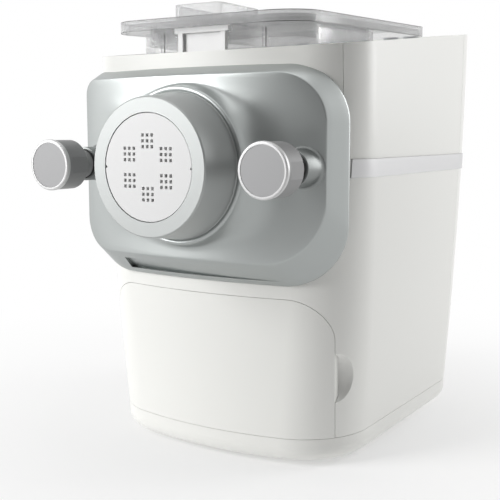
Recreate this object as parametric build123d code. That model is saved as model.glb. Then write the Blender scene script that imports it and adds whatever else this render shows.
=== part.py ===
"""Electric pasta maker: body, drawer, mixing chamber, screw, nozzle, lid and drive train.

Millimetres.  The origin is on the floor under the middle of the machine, +Y runs to the
back and +Z is up.  Distances named "..._d" are measured backwards from the nozzle's face.
"""
from build123d import *
from math import atan2, cos, hypot, pi, radians, sin, sqrt, tan
import os

# ---------------------------------------------------------------- overall sizes
overall_depth = 350.0       # nozzle face to rear wall
nozzle_z = 225.0            # height of the nozzle and of the drive shaft
wall = 2.5                  # thickness of the moulded housings
seam_gap = 0.3              # open joint line between neighbouring housings
moving_gap = 0.4            # room between a fixed and a moving piece
seat_gap = 0.3              # where one piece rests in another

# body plan at three heights: the seam over the base, the belly, and above the crown
seam_z, belly_z, crown_z = 22.0, 137.0, 342.0
seam_half_w, belly_half_w, crown_half_w = 109.3, 116.2, 121.0
seam_front_d, belly_front_d, crown_front_d = 65.0, 62.5, 59.6
seam_bulge_r, belly_bulge_r, crown_bulge_r = 280.0, 360.0, 490.0
seam_corner_r, belly_corner_r, crown_corner_r = 58.0, 52.0, 41.0
rear_corner_r = 60.0
rear_draft = 4.0            # how far the rear wall steps forward at the seam
top_front_z = 308.0         # top edge of the body at its front
top_slope = 6.3             # degrees, rising to the back

# base tray
foot_h, foot_r, foot_inset = 3.0, 11.0, 46.0
base_edge_r = 12.0
base_floor = 2.5

# drawer
drawer_top_z = 128.6
drawer_top_half_w, drawer_bottom_half_w = 102.4, 98.0
drawer_corner_r = 30.0
drawer_skin = 3.0
tray_half_w, tray_wall, tray_floor_z, tray_top_z, tray_back_d = 88.0, 2.0, 29.0, 116.0, 176.0
rail_front_d = 92.0
grip_z, grip_r, grip_depth = 67.5, 19.0, 8.0

# front frame and panel
corner_seam_inset = 9.07       # from the body's side to the seam beside the front frame
frame_bottom_z = 192.0
frame_skin = 3.0
mouth_half_w, mouth_bottom_z, mouth_top_z, mouth_r = 84.0, 157.0, 289.0, 22.0
panel_half_w, panel_bottom_z, panel_top_z = 116.6, 138.3, 297.5
panel_bottom_r, panel_top_r, panel_left_top_r = 46.0, 42.0, 17.0
panel_rim_d, panel_rim_bulge_r = 61.4, 414.0
face_half_w, face_bottom_z, face_top_z = 108.0, 156.0, 290.4
face_bottom_r, face_top_r = 46.0, 35.0
face_left_bottom_r, face_left_top_r = 26.0, 12.0
face_d, face_bulge_r = 44.0, 396.0
grip_slot_left, grip_slot_fade_x, grip_slot_right = -67.0, 55.0, 75.0
grip_slot_h, grip_slot_depth, grip_slot_lean = 9.0, 3.7, 1.07
plug_gap, plug_wall, plug_back_d = 1.0, 3.0, 79.0

# nozzle
collar_lip_r, collar_bore_r, collar_lip_d, collar_lip_h = 57.3, 54.4, 32.0, 2.0
swell_margin, swell_steps, swell_power = 1.0, 10, 3.0
ring_r, ring_back_r, ring_flange_r, ring_flare_d, ring_back_d = 49.0, 52.6, 54.0, 33.5, 46.0
disc_r, disc_face_d, disc_thickness, disc_flange_r, disc_flange_t = 37.5, 0.4, 4.0, 42.0, 3.0
disc_gap = 0.6
disc_back_d = disc_face_d + disc_thickness + disc_flange_t
tube_r, tube_bore_r, tube_bell_r, tube_bell_d = 46.0, 27.0, 36.0, 20.0
tube_flange_r, tube_flange_t = 50.0, 3.0
die_hole, die_pitch, die_ring_r, die_groups, die_rows = 2.3, 4.0, 18.4, 6, 3

# knobs and their rods
knob_x = 92.8
knob_r, knob_rim_r, knob_cap_r = 18.9, 18.9, 16.6
knob_body_d, knob_shoulder_d, knob_neck_d, knob_neck_r = 22.0, 27.0, 36.6, 10.7
knob_rim_t, knob_cap_t, knob_flat_x = 3.0, 1.6, 17.6
knob_washer_t, knob_washer_r = 1.0, 11.4
insert_r = 8.0
boss_r, boss_front_d = 13.0, 38.0
rod_r, rod_front_d, rod_back_d = 5.0, 7.0, 150.0
rod_clearance = 0.35
nut_width, nut_t, nut_d = 15.0, 6.0, 134.0

# mixing chamber and lid
rear_room = 132.0            # depth of the drive compartment behind the tub
chamber_half_w, chamber_front_d, chamber_wall = 79.0, 80.0, 3.0
chamber_back_d = overall_depth - rear_room
chamber_corner_r, chamber_rib_x, gate_r, seal_wall = 30.0, 46.0, 66.0, 5.0
rim_front_z, rim_slope = 325.5, 1.96
lid_half_w, lid_front_d, lid_overhang, lid_corner_r, lid_rear_r = 87.0, 59.0, 72.0, 30.0, 12.0
lid_back_d = chamber_back_d + lid_overhang
lid_h, lid_plate_t, lid_skirt_t, lid_lip_t, lid_lip_h = 8.2, 2.5, 2.5, 2.0, 8.0
lid_pin_r, lid_pin_d = 4.0, lid_back_d - 14.0
spout_x, spout_half_w, spout_front_d, spout_back_d = -22.5, 22.5, 90.0, 150.0
spout_h, spout_wall, spout_corner_r = 13.8, 2.5, 7.0
slit_w, slit_l, slit_pitch, slit_count = 3.4, 30.0, 9.0, 5
clip_half_w, clip_h, clip_t, clip_d = 24.0, 4.0, 5.0, 65.0

# drive line
bulkhead_t, bulkhead_top_z = 4.0, 300.0
bulkhead_d = chamber_back_d + 8.0
shelf_z, shelf_t, shelf_front_d = 132.0, 4.0, 95.0
leg_x, leg_r, leg_front_d = 95.8, 4.5, 128.0
saddle_t, saddle_half_w, saddle_drop, saddle_inset = 6.0, 60.0, 40.0, 30.0
rod_block_w, rod_block_front_d, rod_block_rise = 16.0, 112.0, 9.0
shaft_r, shaft_front_d, shaft_square = 8.0, 30.0, 12.0
screw_r, screw_core_r, screw_turns, flight_t = 26.4, 11.0, 2.25, 4.0
screw_front_d, screw_back_d = 26.0, 84.0
paddle_arms = 4
paddle_hub_r, paddle_reach, paddle_bar, paddle_end, paddle_room = 13.0, 66.0, 8.0, 4.0, 8.0
paddle_front_d, paddle_back_d = screw_back_d + 6.0, chamber_back_d - paddle_room
final_module, final_teeth, final_pinion_teeth = 2.0, 56, 12
first_module, first_teeth, first_pinion_teeth = 1.5, 60, 12
backlash = 0.35
final_gear_t, first_gear_t, gear_room = 11.0, 9.0, 2.0
gearbox_half_w, gearbox_wall, gearbox_cover_t = 66.0, 3.0, 3.0
final_gear_d = bulkhead_d + bulkhead_t + gearbox_wall + gear_room
first_gear_d = final_gear_d + final_gear_t + gear_room + 1.0
gearbox_back_d = first_gear_d + first_gear_t + gear_room
gearbox_margin, gearbox_corner_r = 6.0, 30.0
bearing_t, bearing_wall = 3.6, 5.0
idler_axle_r, idler_clearance = 4.0, 0.06
motor_r, motor_wall, motor_len, magnet_gap = 36.0, 2.0, 62.0, 12.0
armature_r, armature_len, motor_shaft_r, motor_bush_t = 27.0, 38.0, 4.0, 3.0
shaft_clearance = 0.05
fan_r, fan_t, fan_hub_r, fan_blades = 30.0, 8.0, 9.0, 9

# controls on the rear deck
deck_drop, deck_t, deck_gap = 2.5, 2.5, 1.0
fascia_half_w, fascia_len, fascia_t, fascia_corner_r = 72.0, 38.0, 1.6, 8.0
fascia_d = overall_depth - 26.0
window_w, window_l, window_t = 44.0, 18.0, 1.2
button_r, button_travel, button_h, button_gap = 7.0, 1.0, 2.2, 0.35
board_drop, board_t = 9.0, 1.6

# power board, on edge beside the motor
power_x, power_len, power_bottom_z, power_top_z = 88.0, 68.0, 66.0, 200.0

# trim band and rear cover
band_bottom_z, band_top_z, band_proud, band_sunk, band_front_d = 217.0, 230.4, 0.9, 1.2, 89.4
band_share = (band_bottom_z - belly_z) / (crown_z - belly_z)
corner_seam_x = belly_half_w + band_share * (crown_half_w - belly_half_w) - corner_seam_inset
rear_seam_d = overall_depth - 59.0
rear_cut_d = overall_depth - rear_corner_r / 2   # where cuts through the rear wall start
vent_count, vent_w, vent_h, vent_pitch = 9, 3.2, 46.0, 9.0
cord_x, cord_z, cord_r, cord_bush_r = 45.0, 44.0, 3.8, 8.0
post_inset, post_low_z, post_high_z, post_r, post_gap = 47.0, 50.0, 296.0, 5.0, 2.4
screw_thread_r, screw_head_r, screw_head_t = 1.8, 3.6, 2.4

front = -overall_depth / 2
far = 2 * overall_depth         # reach of blocks that only cut
wrap_d = 140.0                  # depth that takes in the whole rounded front
final_centres = final_module * (final_teeth + final_pinion_teeth) / 2
first_centres = first_module * (first_teeth + first_pinion_teeth) / 2
idler_z = nozzle_z - final_centres
motor_z = idler_z - first_centres
rise = tan(radians(top_slope))
rim_rise = tan(radians(rim_slope))


# ---------------------------------------------------------------- helpers
def at(d):
    """Y of a place that lies d behind the nozzle's face."""
    return front + d


def block(x0, x1, d0, d1, z0, z1):
    size = Box(x1 - x0, d1 - d0, z1 - z0)
    return Pos((x0 + x1) / 2, at((d0 + d1) / 2), (z0 + z1) / 2) * size


def rod(radius, d0, d1, x=0.0, z=None):
    """A round bar along Y from d0 to d1."""
    height = nozzle_z if z is None else z
    return Pos(x, at((d0 + d1) / 2), height) * Rot(90, 0, 0) * Cylinder(radius, d1 - d0)


def tube(outer, inner, d0, d1, x=0.0, z=None):
    return rod(outer, d0, d1, x, z) - rod(inner, d0 - 1, d1 + 1, x, z)


def pillar(radius, z0, z1, x, d):
    return Pos(x, at(d), (z0 + z1) / 2) * Cylinder(radius, z1 - z0)


def spin(points, x=0.0, z=None):
    """Revolve a closed profile of (radius, d) points about the axis along Y."""
    height = nozzle_z if z is None else z
    profile = make_face(Polyline([(r, 0, -d) for r, d in points], close=True))
    turned = revolve(profile, Axis.Z)
    return Pos(x, front, height) * Rot(90, 0, 0) * turned


def one(shape):
    """The single solid of a shape."""
    return shape.solids()[0]


def group(*shapes):
    return Compound(children=[s for shape in shapes for s in shape.solids()])


def rounded_outline(half_w, z0, z1, low, top, left_low=None, left_top=None):
    """A rounded rectangle in the XZ plane, with corner radii low and top.

    The corners at -X take radii of their own where these are given.
    """
    def corner(sx, z, sz, r):
        cx, cz = sx * (half_w - r), z - sz * r
        mid = r * sqrt(0.5)
        side, end = (cx + sx * r, 0, cz), (cx, 0, cz + sz * r)
        return side, (cx + sx * mid, 0, cz + sz * mid), end
    low_r, low_l = corner(1, z0, -1, low), corner(-1, z0, -1, left_low or low)
    top_r, top_l = corner(1, z1, 1, top), corner(-1, z1, 1, left_top or top)
    edges = [
        Line(low_l[2], low_r[2]), ThreePointArc(low_r[2], low_r[1], low_r[0]),
        Line(low_r[0], top_r[0]), ThreePointArc(top_r[0], top_r[1], top_r[2]),
        Line(top_r[2], top_l[2]), ThreePointArc(top_l[2], top_l[1], top_l[0]),
        Line(top_l[0], low_l[0]), ThreePointArc(low_l[0], low_l[1], low_l[2]),
    ]
    return make_face(Wire([e for line in edges for e in line.edges()]))


def prism(face, d0, d1):
    """Carry an XZ outline drawn at y = 0 from d0 to d1."""
    return Pos(0, at(d0), 0) * extrude(face, dir=(0, 1, 0), amount=d1 - d0)


def plan_box(half_w, d0, d1, z0, z1, r):
    """An upright box with rounded corners in plan."""
    middle = (d0 + d1) / 2
    shape = extrude(RectangleRounded(2 * half_w, d1 - d0, r), z1 - z0)
    return Pos(0, at(middle), z0) * shape


# ---------------------------------------------------------------- body shape
def body_section(z, half_w, front_d, bulge_r, corner_r, inset):
    """Plan of the body at one height: bulged front, round corners, straight sides."""
    half, face_y = half_w - inset, at(front_d) + inset
    bulge, corner, rear_r = bulge_r - inset, corner_r - inset, rear_corner_r - inset
    draft = rear_draft * (crown_z - z) / (crown_z - seam_z)
    back = at(overall_depth) - draft - inset
    cx = half - corner
    cy = face_y + bulge - sqrt((bulge - corner) ** 2 - cx ** 2)
    reach = hypot(cx, face_y + bulge - cy)
    jx, jy = bulge * cx / reach, face_y + bulge - bulge * (face_y + bulge - cy) / reach
    lean = atan2(jx - cx, cy - jy)
    turn = (lean + pi / 2) / 2
    mid = (cx + corner * sin(turn), cy - corner * cos(turn))
    rx, ry, k = half - rear_r, back - rear_r, rear_r * sqrt(0.5)
    edges = [
        ThreePointArc((-jx, jy, z), (0, face_y, z), (jx, jy, z)),
        ThreePointArc((jx, jy, z), (*mid, z), (half, cy, z)),
        Line((half, cy, z), (half, ry, z)),
        ThreePointArc((half, ry, z), (rx + k, ry + k, z), (rx, back, z)),
        Line((rx, back, z), (-rx, back, z)),
        ThreePointArc((-rx, back, z), (-rx - k, ry + k, z), (-half, ry, z)),
        Line((-half, ry, z), (-half, cy, z)),
        ThreePointArc((-half, cy, z), (-mid[0], mid[1], z), (-jx, jy, z)),
    ]
    return Wire([e for line in edges for e in line.edges()])


def seam_section(inset=0.0, z=seam_z):
    return body_section(z, seam_half_w, seam_front_d, seam_bulge_r, seam_corner_r, inset)


def body_loft(inset=0.0):
    """The whole tapering body from the base seam up past its crown."""
    belly = body_section(belly_z, belly_half_w, belly_front_d, belly_bulge_r, belly_corner_r, inset)
    crown = body_section(crown_z, crown_half_w, crown_front_d, crown_bulge_r, crown_corner_r, inset)
    return Solid.make_loft([seam_section(inset), belly, crown])


def under_slope(z_front, d_front, slope, drop=0.0):
    """Everything below a plane that rises to the back."""
    y0, y1 = at(-far), at(far)
    z0, z1 = (z_front - drop + slope * (y - at(d_front)) for y in (y0, y1))
    side = make_face(Polyline([(0, y0, -far), (0, y1, -far), (0, y1, z1), (0, y0, z0)], close=True))
    return extrude(side, dir=(1, 0, 0), amount=far, both=True)


def under_top(drop=0.0):
    return under_slope(top_front_z, crown_front_d, rise, drop)


def top_z(d, drop=0.0):
    return top_front_z - drop + rise * (d - crown_front_d)


def rim_z(d):
    return rim_front_z + rim_rise * (d - lid_front_d)


def body_shell(thickness):
    return (body_loft() - body_loft(thickness)) & under_top()


def behind(d):
    return block(-far, far, d, far, -far, far)


def below(z):
    return block(-far, far, -far, far, -far, z)


def above(z):
    return block(-far, far, -far, far, z, far)


def drawer_profile(grow=0.0):
    """Outline of the drawer front: tapered sides, round top corners, open at the seam."""
    low, high = drawer_bottom_half_w + grow, drawer_top_half_w + grow
    top = drawer_top_z + grow
    bottom = seam_z - 30
    corners = [(-low, 0, bottom), (low, 0, bottom), (high, 0, top), (-high, 0, top)]
    face = make_face(Polyline(corners, close=True))
    return fillet(face.vertices().filter_by(lambda v: v.Z > seam_z), drawer_corner_r)


# ---------------------------------------------------------------- base
def base_cavity(shrink=0.0):
    """The room inside the base tray, with its rounded lower edge."""
    inner = extrude(make_face(seam_section(wall + shrink, foot_h + base_floor)), amount=belly_z)
    return fillet(inner.faces().sort_by(Axis.Z)[0].edges(), base_edge_r - wall)


def make_base_tray():
    outer = extrude(make_face(seam_section(0, foot_h)), amount=seam_z - foot_h)
    outer = fillet(outer.faces().sort_by(Axis.Z)[0].edges(), base_edge_r)
    tray = outer - base_cavity()
    for x, d in leg_places():
        tray -= pillar(screw_thread_r + 0.2, 0, seam_z, x, d)
        tray -= pillar(screw_head_r + 0.2, 0, foot_h + screw_head_t / 2, x, d)
    for x, d in foot_places():
        tray -= pillar(foot_r, 0, foot_h + 1, x, d)
    return tray


def foot_places():
    xs = seam_half_w - foot_inset
    ds = (seam_front_d + foot_inset, overall_depth - rear_draft - foot_inset)
    return [(sx * xs, d) for d in ds for sx in (-1, 1)]


def leg_places():
    return [(sx * leg_x, d) for d in (leg_front_d, bulkhead_d + bulkhead_t / 2) for sx in (-1, 1)]


def make_feet():
    return group(*[pillar(foot_r, 0, foot_h + 1, x, d) for x, d in foot_places()])


def make_base_screws():
    def one_screw(x, d):
        head_z = foot_h + screw_head_t / 2
        head = pillar(screw_head_r, head_z - screw_head_t / 2, head_z, x, d)
        return head + pillar(screw_thread_r, head_z - 0.1, seam_z - 3, x, d)
    return group(*[one_screw(x, d) for x, d in leg_places()])


# ---------------------------------------------------------------- housings
def grip_ball(sx, radius_extra=0.0):
    """Ball that scoops the finger recess beside the drawer's edge."""
    share = (grip_z - seam_z) / (belly_z - seam_z)
    half = seam_half_w + share * (belly_half_w - seam_half_w)
    corner = seam_corner_r + share * (belly_corner_r - seam_corner_r)
    bulge = seam_bulge_r + share * (belly_bulge_r - seam_bulge_r)
    face_y = at(seam_front_d + share * (belly_front_d - seam_front_d))
    edge_x = drawer_bottom_half_w + share * (drawer_top_half_w - drawer_bottom_half_w)
    cx = half - corner
    cy = face_y + bulge - sqrt((bulge - corner) ** 2 - cx ** 2)
    lean = (edge_x - cx) / corner
    nx, ny = lean, -sqrt(1 - lean ** 2)
    radius = (grip_r ** 2 + grip_depth ** 2) / (2 * grip_depth)
    reach = corner + radius - grip_depth
    return Pos(sx * (cx + nx * reach), cy + ny * reach, grip_z) * Sphere(radius + radius_extra)


def band_ring(outset, sunk, z0, z1):
    """Strip that follows the body's outline from the panel round the back."""
    ring = body_loft(-outset) - body_loft(sunk)
    return ring & behind(band_front_d) & above(z0) & below(z1)


def mouth_outline(inset=0.0):
    z0, z1, corner = mouth_bottom_z + inset, mouth_top_z - inset, mouth_r - inset
    return rounded_outline(mouth_half_w - inset, z0, z1, corner, corner)


def mouth():
    """Opening behind the front panel that leads to the mixing chamber."""
    return prism(mouth_outline(), 0, wrap_d)


def finger_cup(sx):
    """Wall of the finger recess, which reaches in behind the drawer's edge."""
    cup = (grip_ball(sx, wall) - grip_ball(sx)) & body_loft()
    cup -= prism(drawer_profile(), 0, wrap_d) - body_loft(drawer_skin + moving_gap)
    return cup - block(-tray_half_w - moving_gap, tray_half_w + moving_gap, 0, far, 0, drawer_top_z)


def make_side_housing():
    shell = body_shell(wall) - grip_ball(-1) - grip_ball(1)
    shell -= behind(rear_seam_d)
    shell -= prism(drawer_profile(), 0, wrap_d)
    shell += [finger_cup(-1), finger_cup(1)]
    shell -= block(-corner_seam_x, corner_seam_x, 0, wrap_d, frame_bottom_z, far)
    shell -= mouth()
    shell -= below(seam_z + seam_gap)
    shell -= band_ring(band_proud + 1, band_sunk, band_bottom_z, band_top_z)
    return shell


def make_front_frame():
    half = corner_seam_x - seam_gap
    frame = body_shell(frame_skin) & block(-half, half, 0, wrap_d, frame_bottom_z + seam_gap, far)
    frame -= mouth()
    for sx in (-1, 1):
        frame -= rod(rod_r + 2, 0, wrap_d, sx * knob_x)
    return frame - band_ring(band_proud + 1, band_sunk, band_bottom_z, band_top_z)


def make_rear_cover():
    cover = body_shell(wall) & behind(rear_seam_d + seam_gap)
    cover -= below(seam_z + seam_gap)
    cover -= band_ring(band_proud + 1, band_sunk, band_bottom_z, band_top_z)
    vent_z0, vent_z1 = motor_z - vent_h / 2, motor_z + vent_h / 2
    for i in range(vent_count):
        x = (i - (vent_count - 1) / 2) * vent_pitch
        cover -= block(x - vent_w / 2, x + vent_w / 2, rear_cut_d, far, vent_z0, vent_z1)
    cover -= rod(cord_bush_r, rear_cut_d, far, cord_x, cord_z)
    for x, z in post_places():
        cover -= rod(screw_thread_r + 0.2, rear_cut_d, far, x, z)
        cover -= rod(screw_head_r + 0.2, rear_inner_d(x, z) + wall / 2, far, x, z)
    return cover


def rear_half_w(z):
    """Half width of the body at its rear corners."""
    return seam_half_w + (z - seam_z) / (crown_z - seam_z) * (crown_half_w - seam_half_w)


def rear_inner_d(x, z):
    """Depth of the rear wall's inner face at a given place."""
    over = max(0.0, abs(x) - (rear_half_w(z) - rear_corner_r))
    back = overall_depth - rear_draft * (crown_z - z) / (crown_z - seam_z)
    return back - rear_corner_r + sqrt((rear_corner_r - wall) ** 2 - over ** 2)


def post_places():
    return [(sx * (rear_half_w(z) - post_inset), z) for z in (post_low_z, post_high_z) for sx in (-1, 1)]


def make_rear_screws():
    def one_screw(x, z):
        seat = rear_inner_d(x, z) + wall / 2
        head = rod(screw_head_r, seat, seat + screw_head_t, x, z)
        return head + rod(screw_thread_r, seat - 12, seat + 0.1, x, z)
    return group(*[one_screw(x, z) for x, z in post_places()])


def make_cord_bush():
    wall_d = rear_inner_d(cord_x, cord_z) - 0.6
    sleeve = rod(cord_bush_r - 0.1, wall_d - 3, wall_d + wall + 1.4, cord_x, cord_z)
    flange = rod(cord_bush_r + 2.5, wall_d - 3, wall_d, cord_x, cord_z)
    return (sleeve + flange) - rod(cord_r, rear_seam_d, far, cord_x, cord_z)


def make_top_deck():
    plate = body_loft(frame_skin + 0.1) & under_top(deck_drop)
    plate -= under_top(deck_drop + deck_t)
    plate -= plan_box(chamber_half_w + deck_gap, chamber_front_d - deck_gap, chamber_back_d + deck_gap,
                      nozzle_z, far, chamber_corner_r)
    plate -= pillar(lid_pin_r + deck_gap, nozzle_z, far, 0, lid_pin_d)
    plate -= controls_at * Box(window_w - 4, window_l - 4, 10 * deck_t)
    for x, y in button_places():
        plate -= controls_at * Pos(x, y, 0) * Cylinder(button_r + button_gap, 10 * deck_t)
    return plate


def make_trim_band():
    clearance = 0.1
    return band_ring(band_proud, band_sunk - clearance, band_bottom_z + clearance, band_top_z - clearance)


# ---------------------------------------------------------------- inner frame
def make_inner_frame():
    inside = body_loft(wall + seat_gap)
    shelf = block(-far, far, shelf_front_d, bulkhead_d, shelf_z, shelf_z + shelf_t) & inside
    bulkhead = block(-far, far, bulkhead_d, bulkhead_d + bulkhead_t, seam_z + 4, bulkhead_top_z) & inside
    frame = shelf + bulkhead
    for x, d in leg_places():
        frame += pillar(leg_r, foot_h + base_floor, shelf_z + shelf_t / 2, x, d) & base_cavity(seat_gap)
    for x, z in post_places():
        frame += rod(post_r, bulkhead_d + 1, rear_inner_d(x, z) - post_gap, x, z)
    for d in (chamber_front_d + saddle_inset, chamber_back_d - saddle_inset):
        frame += block(-saddle_half_w, saddle_half_w, d, d + saddle_t, shelf_z + 1, nozzle_z - saddle_drop)
    frame -= rod(chamber_half_w + seat_gap, 0, bulkhead_d)
    for sx in (-1, 1):
        x0, x1 = sx * knob_x - rod_block_w / 2, sx * knob_x + rod_block_w / 2
        frame += block(x0, x1, rod_block_front_d, nut_d, shelf_z + 1, nozzle_z + rod_block_rise)
        frame -= rod(rod_r, 0, nut_d + 1, sx * knob_x)
    frame -= rod(shaft_r + 6, bulkhead_d - 1, bulkhead_d + bulkhead_t + 1)
    for x, d in leg_places():
        frame -= pillar(screw_thread_r, 0, seam_z, x, d)
    for x, z in post_places():
        frame -= rod(screw_thread_r, rear_inner_d(x, z) - 14, far, x, z)
    return frame


def make_rods():
    return group(*[rod(rod_r, rod_front_d, rod_back_d, sx * knob_x) for sx in (-1, 1)])


def hexagon(across, d0, d1, x, z):
    side = across / sqrt(3)
    ring = [(x + side * cos(radians(60 * i)), 0, z + side * sin(radians(60 * i))) for i in range(6)]
    return prism(make_face(Polyline(ring, close=True)), d0, d1)


def make_rod_nuts():
    def nut(x):
        return hexagon(nut_width, nut_d, nut_d + nut_t, x, nozzle_z) - rod(rod_r, 0, far, x)
    return group(nut(-knob_x), nut(knob_x))


def make_runners():
    floor = foot_h + base_floor
    rail_x, rail_in_x = tray_half_w + 3.0, tray_half_w - 12.0
    back, lip_z = tray_back_d + 6, tray_floor_z + 14

    def rail():
        seat = block(rail_in_x, rail_x, rail_front_d, back, floor, tray_floor_z - moving_gap)
        lip = block(tray_half_w + moving_gap, rail_x, rail_front_d + 8, back, floor, lip_z)
        stop = block(rail_in_x, rail_x, tray_back_d + 1, back, floor, lip_z)
        return (seat + lip + stop) & base_cavity(seat_gap)
    return group(mirror(rail(), Plane.YZ), rail())


# ---------------------------------------------------------------- drawer
def make_drawer_front():
    skin = body_loft() - body_loft(drawer_skin)
    return (skin & prism(drawer_profile(-seam_gap), 0, wrap_d)) - below(seam_z + seam_gap)


def make_drawer_tray():
    inset = drawer_skin + 0.1
    body = block(-tray_half_w, tray_half_w, 0, tray_back_d, tray_floor_z, tray_top_z) & body_loft(inset)
    hollow = block(-tray_half_w + tray_wall, tray_half_w - tray_wall, 0, tray_back_d - tray_wall,
                   tray_floor_z + tray_wall, far)
    return body - (hollow & body_loft(inset + tray_wall))


def make_spare_discs():
    """Two spare shaping discs that lie in the drawer."""
    floor = tray_floor_z + tray_wall
    spare_d = tray_back_d - tray_wall - disc_flange_r - 1
    def spare(x):
        disc = pillar(disc_r, floor, floor + disc_thickness, x, spare_d)
        disc += pillar(disc_flange_r, floor + disc_thickness, floor + disc_thickness + disc_flange_t,
                       x, spare_d)
        for i in range(8):
            a = radians(45 * i)
            disc -= pillar(2.5, floor - 1, floor + 20, x + 20 * cos(a), spare_d + 20 * sin(a))
        return disc
    return group(spare(-disc_flange_r - 0.5), spare(disc_flange_r + 0.5))


# ---------------------------------------------------------------- front panel
def bulged_sheet(outline, radius, d):
    """An outline laid on the front of an upright cylinder."""
    cylinder = Pos(0, at(d) + radius, nozzle_z) * Cylinder(radius, far)
    skin = cylinder.faces().filter_by(GeomType.CYLINDER)[0]
    pieces = skin.intersect(one(prism(outline, 0, wrap_d))).faces()
    return pieces.sort_by(Axis.Y)[0]


def bevelled_plate():
    """The panel's plate: a bulged face, and a bevel that widens to its rim."""
    face_outline = rounded_outline(face_half_w, face_bottom_z, face_top_z, face_bottom_r, face_top_r,
                                   face_left_bottom_r, face_left_top_r)
    face = bulged_sheet(face_outline, face_bulge_r, face_d)
    rim_outline = rounded_outline(panel_half_w, panel_bottom_z, panel_top_z, panel_bottom_r, panel_top_r,
                                  panel_bottom_r, panel_left_top_r)
    rim = bulged_sheet(rim_outline, panel_rim_bulge_r, panel_rim_d)
    bevel = Shell.make_loft([face.outer_wire(), rim.outer_wire()], True)
    return Solid(Shell([face, rim, *bevel.faces()]))


def make_front_panel():
    panel = bevelled_plate() - body_loft(-moving_gap)
    panel += prism(mouth_outline(plug_gap), panel_rim_d - 2, plug_back_d)
    panel -= prism(mouth_outline(plug_gap + plug_wall), panel_rim_d + 1, plug_back_d - plug_wall)
    panel += collar()
    for sx in (-1, 1):
        panel += rod(boss_r, boss_front_d, panel_rim_d, sx * knob_x)
    panel -= rod(collar_bore_r, 0, panel_rim_d - 6)
    panel -= rod(tube_r + 0.2, 0, far)
    for sx in (-1, 1):
        panel -= rod(rod_r + rod_clearance, 0, far, sx * knob_x)
    panel -= grip_slot()
    return panel


def swell_level(spread, d):
    """Outline of the swell at one depth: the lip's circle at spread 0, the face's outline at 1."""
    def grown(least, most):
        return least + (most - least) * spread
    circle_r = collar_lip_r - 0.2
    radii = [grown(circle_r, r) for r in (face_bottom_r, face_top_r, face_left_bottom_r, face_left_top_r)]
    face = rounded_outline(grown(collar_lip_r, face_half_w - swell_margin),
                           grown(nozzle_z - collar_lip_r, face_bottom_z + swell_margin),
                           grown(nozzle_z + collar_lip_r, face_top_z - swell_margin), *radii)
    return (Pos(0, at(d), 0) * face).face().outer_wire()


def collar():
    """Swell that rises from the whole face to the rounded lip round the nozzle."""
    foot_d = face_d + face_bulge_r - sqrt(face_bulge_r ** 2 - face_half_w ** 2)
    lip_foot_d = collar_lip_d + collar_lip_h
    levels = []
    for i in range(swell_steps + 1):
        t = i / swell_steps
        levels.append(swell_level(1 - t, foot_d + (lip_foot_d - foot_d) * t ** swell_power))
    bead_r, middle_r = (collar_lip_r - collar_bore_r) / 2, (collar_lip_r + collar_bore_r) / 2
    lip = spin([(collar_bore_r - 1, foot_d), (collar_lip_r, foot_d), (collar_lip_r, lip_foot_d),
                (middle_r + bead_r * cos(pi / 4), lip_foot_d - collar_lip_h * sin(pi / 4)),
                (middle_r, collar_lip_d), (collar_bore_r - 1, collar_lip_d)])
    return Solid.make_loft(levels, True) + lip


def grip_slot():
    """Long finger slot in the lower bevel, deep at its left end and running out to the right.

    Its floor is a cone shifted sideways, so that it meets the bevel at the place of fading.
    """
    z_mid = (face_bottom_z + panel_bottom_z) / 2
    z0, z1 = z_mid - grip_slot_h / 2, z_mid + grip_slot_h / 2
    bulge = 2 / (1 / face_bulge_r + 1 / panel_rim_bulge_r)
    shift = grip_slot_depth * bulge / (grip_slot_fade_x - grip_slot_left)
    floor_d = (face_d + panel_rim_d) / 2 + shift * (2 * grip_slot_fade_x - shift) / 2 / bulge
    flare = grip_slot_lean * grip_slot_h
    cone = Cone(bulge - flare, bulge + flare, 2 * grip_slot_h)
    behind_floor = Pos(shift, at(floor_d) + bulge, z_mid) * cone
    return block(grip_slot_left, grip_slot_right, 0, panel_rim_d, z0, z1) - behind_floor


def make_extrusion_tube():
    back = plug_back_d
    profile = [
        (tube_bell_r, disc_back_d + seat_gap), (tube_r - 1.0, disc_back_d + seat_gap), (tube_r - 1.0, 40),
        (tube_r, 40), (tube_r, back), (tube_flange_r, back), (tube_flange_r, back + tube_flange_t),
        (tube_bore_r, back + tube_flange_t), (tube_bore_r, tube_bell_d),
    ]
    return spin(profile)


def make_shaping_disc():
    disc = rod(disc_r, disc_face_d, disc_face_d + disc_thickness)
    disc += rod(disc_flange_r, disc_face_d + disc_thickness, disc_back_d)
    for sx in (-1, 1):
        disc -= rod(0.9, 0, disc_face_d + 1.2, sx * (disc_r - 0.4))
    middle = (die_rows - 1) / 2
    for g in range(die_groups):
        a = radians(90 + g * 360 / die_groups)
        for i in range(die_rows):
            for j in range(die_rows):
                x = die_ring_r * cos(a) + (i - middle) * die_pitch
                z = nozzle_z + die_ring_r * sin(a) + (j - middle) * die_pitch
                half = die_hole / 2
                disc -= block(x - half, x + half, 0, disc_back_d + 1, z - half, z + half)
    return disc


def make_nozzle_ring():
    shoulder = disc_face_d + disc_thickness - seat_gap
    seat = disc_back_d - seat_gap
    profile = [
        (disc_r + disc_gap, 0), (ring_r - 1, 0), (ring_r, 1), (ring_back_r, ring_flare_d - 1.5),
        (ring_flange_r, ring_flare_d), (ring_flange_r, ring_back_d), (tube_r + moving_gap, ring_back_d),
        (tube_r + moving_gap, 38),
        (tube_r - 1 + moving_gap, 38), (tube_r - 1 + moving_gap, seat),
        (disc_flange_r + moving_gap, seat), (disc_flange_r + moving_gap, shoulder),
        (disc_r + disc_gap, shoulder),
    ]
    return spin(profile)


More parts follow.
